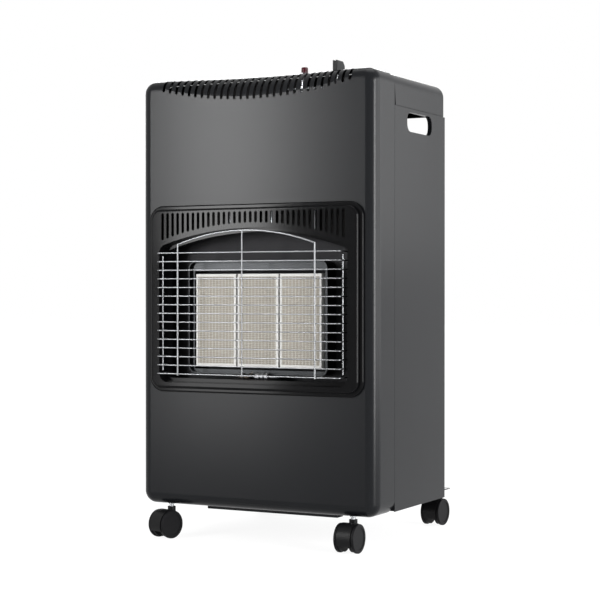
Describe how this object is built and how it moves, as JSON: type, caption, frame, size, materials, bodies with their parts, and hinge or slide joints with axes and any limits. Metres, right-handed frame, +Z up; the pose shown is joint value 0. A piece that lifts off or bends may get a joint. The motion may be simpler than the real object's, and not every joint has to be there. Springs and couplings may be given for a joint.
{
  "type": "portable gas cabinet heater",
  "caption": "Upright wheeled cabinet heater with ceramic plaque burners behind an arched wire guard, a top control knob, and a rear bay for a gas cylinder.",
  "frame": {"origin": "on the floor, at the middle of the heater's width and depth", "axes": "+Z up, -Y out of the front panel towards the person who is warmed, +X to the right of someone who faces the front"},
  "size_m": [0.42, 0.3992, 0.7562],
  "materials": {
    "cabinet_paint": "satin anthracite",
    "bezel_enamel": "semi-gloss black",
    "zinc_sheet": "zinc-plated sheet",
    "reflector_steel": "bright",
    "burner_steel": "aluminised",
    "plaque_ceramic": "matt unglazed",
    "gasket_fibre": "pressed fibre",
    "guard_chrome": "bright plated wire",
    "gas_brass": "machined",
    "pipe_aluminium": "drawn tube",
    "bright_steel": "zinc plated",
    "lead_rubber": "silicone sleeve",
    "knob_plastic": "fine grained",
    "button_plastic": "gloss",
    "igniter_chrome": "bright plated",
    "caster_plastic": "semi-matt",
    "wheel_plastic": "semi-matt"
  },
  "bodies": {
    "cabinet": {"front_shell": "cabinet_paint", "left_side_panel": "cabinet_paint", "right_side_panel": "cabinet_paint", "top_lid": "cabinet_paint", "window_bezel": "bezel_enamel", "base_tray": "cabinet_paint", "heat_shield": "zinc_sheet", "control_bracket": "zinc_sheet", "injector_bar": "zinc_sheet", "pilot_bracket": "zinc_sheet", "reflector": "reflector_steel", "burner_frame": "reflector_steel", "burner_box_left": "burner_steel", "plaque_left": "plaque_ceramic", "feed_pipe_left": "pipe_aluminium", "burner_box_centre": "burner_steel", "plaque_centre": "plaque_ceramic", "feed_pipe_centre": "pipe_aluminium", "burner_box_right": "burner_steel", "plaque_right": "plaque_ceramic", "feed_pipe_right": "pipe_aluminium", "pilot_pipe": "pipe_aluminium", "plaque_gaskets": "gasket_fibre", "wire_guard": "guard_chrome", "gas_valve": "gas_brass", "injectors": "gas_brass", "inlet_nozzle": "gas_brass", "thermocouple": "gas_brass", "pilot_burner": "bright_steel", "panel_screws": "bright_steel", "control_nuts": "bright_steel", "ignition_electrode": "plaque_ceramic", "ignition_lead": "lead_rubber", "igniter_body": "igniter_chrome"},
    "knob_turn_body": {"valve_plug": "gas_brass"},
    "knob_push_body": {"valve_spindle": "bright_steel", "control_knob": "knob_plastic"},
    "button_body": {"igniter_button": "button_plastic"},
    "cover_body": {"rear_cover": "cabinet_paint", "rear_cover_thumbscrews": "bright_steel"},
    "caster_front_left": {"caster_front_left_stem": "bright_steel", "caster_front_left_hood": "caster_plastic", "caster_front_left_axle": "bright_steel"},
    "caster_front_left_left": {"caster_front_left_wheel_left": "wheel_plastic"},
    "caster_front_left_right": {"caster_front_left_wheel_right": "wheel_plastic"},
    "caster_front_right": {"caster_front_right_stem": "bright_steel", "caster_front_right_hood": "caster_plastic", "caster_front_right_axle": "bright_steel"},
    "caster_front_right_left": {"caster_front_right_wheel_left": "wheel_plastic"},
    "caster_front_right_right": {"caster_front_right_wheel_right": "wheel_plastic"},
    "caster_rear_left": {"caster_rear_left_stem": "bright_steel", "caster_rear_left_hood": "caster_plastic", "caster_rear_left_axle": "bright_steel"},
    "caster_rear_left_left": {"caster_rear_left_wheel_left": "wheel_plastic"},
    "caster_rear_left_right": {"caster_rear_left_wheel_right": "wheel_plastic"},
    "caster_rear_right": {"caster_rear_right_stem": "bright_steel", "caster_rear_right_hood": "caster_plastic", "caster_rear_right_axle": "bright_steel"},
    "caster_rear_right_left": {"caster_rear_right_wheel_left": "wheel_plastic"},
    "caster_rear_right_right": {"caster_rear_right_wheel_right": "wheel_plastic"}
  },
  "joints": [
    {"name": "front_left_swivel", "type": "hinge", "parent": "cabinet", "child": "caster_front_left", "pos_m": [-0.1636, -0.1498, 0.06], "axis": [0, 0, 1], "continuous": true},
    {"name": "front_left_wheel_left_spin", "type": "hinge", "parent": "caster_front_left", "child": "caster_front_left_left", "pos_m": [-0.16709, -0.16284, 0.0225], "axis": [0.9659, -0.2588, 0], "continuous": true},
    {"name": "front_left_wheel_right_spin", "type": "hinge", "parent": "caster_front_left", "child": "caster_front_left_right", "pos_m": [-0.16709, -0.16284, 0.0225], "axis": [0.9659, -0.2588, 0], "continuous": true},
    {"name": "front_right_swivel", "type": "hinge", "parent": "cabinet", "child": "caster_front_right", "pos_m": [0.1636, -0.1498, 0.06], "axis": [0, 0, 1], "continuous": true},
    {"name": "front_right_wheel_left_spin", "type": "hinge", "parent": "caster_front_right", "child": "caster_front_right_left", "pos_m": [0.1636, -0.1633, 0.0225], "axis": [1, 0, 0], "continuous": true},
    {"name": "front_right_wheel_right_spin", "type": "hinge", "parent": "caster_front_right", "child": "caster_front_right_right", "pos_m": [0.1636, -0.1633, 0.0225], "axis": [1, 0, 0], "continuous": true},
    {"name": "rear_left_swivel", "type": "hinge", "parent": "cabinet", "child": "caster_rear_left", "pos_m": [-0.1636, 0.1866, 0.06], "axis": [0, 0, 1], "continuous": true},
    {"name": "rear_left_wheel_left_spin", "type": "hinge", "parent": "caster_rear_left", "child": "caster_rear_left_left", "pos_m": [-0.16149, 0.17327, 0.0225], "axis": [0.9877, 0.1564, 0], "continuous": true},
    {"name": "rear_left_wheel_right_spin", "type": "hinge", "parent": "caster_rear_left", "child": "caster_rear_left_right", "pos_m": [-0.16149, 0.17327, 0.0225], "axis": [0.9877, 0.1564, 0], "continuous": true},
    {"name": "rear_right_swivel", "type": "hinge", "parent": "cabinet", "child": "caster_rear_right", "pos_m": [0.1636, 0.1866, 0.06], "axis": [0, 0, 1], "continuous": true},
    {"name": "rear_right_wheel_left_spin", "type": "hinge", "parent": "caster_rear_right", "child": "caster_rear_right_left", "pos_m": [0.16289, 0.17312, 0.0225], "axis": [0.9986, -0.0523, 0], "continuous": true},
    {"name": "rear_right_wheel_right_spin", "type": "hinge", "parent": "caster_rear_right", "child": "caster_rear_right_right", "pos_m": [0.16289, 0.17312, 0.0225], "axis": [0.9986, -0.0523, 0], "continuous": true},
    {"name": "knob_turn", "type": "hinge", "parent": "cabinet", "child": "knob_turn_body", "pos_m": [0.125, -0.1214, 0.7], "axis": [0, 0, 1], "range_deg": [0, 240]},
    {"name": "knob_push", "type": "slide", "parent": "knob_turn_body", "child": "knob_push_body", "axis": [0, 0, -1], "range_m": [0, 0.004], "stiffness_N_per_m": 1500, "springref_m": -0.002},
    {"name": "igniter_push", "type": "slide", "parent": "cabinet", "child": "button_body", "axis": [0, 0, -1], "range_m": [0, 0.006], "stiffness_N_per_m": 2000, "springref_m": -0.002},
    {"name": "rear_cover_off", "type": "slide", "parent": "cabinet", "child": "cover_body", "axis": [0, 1, 0], "range_m": [0, 0.15]}
  ]
}
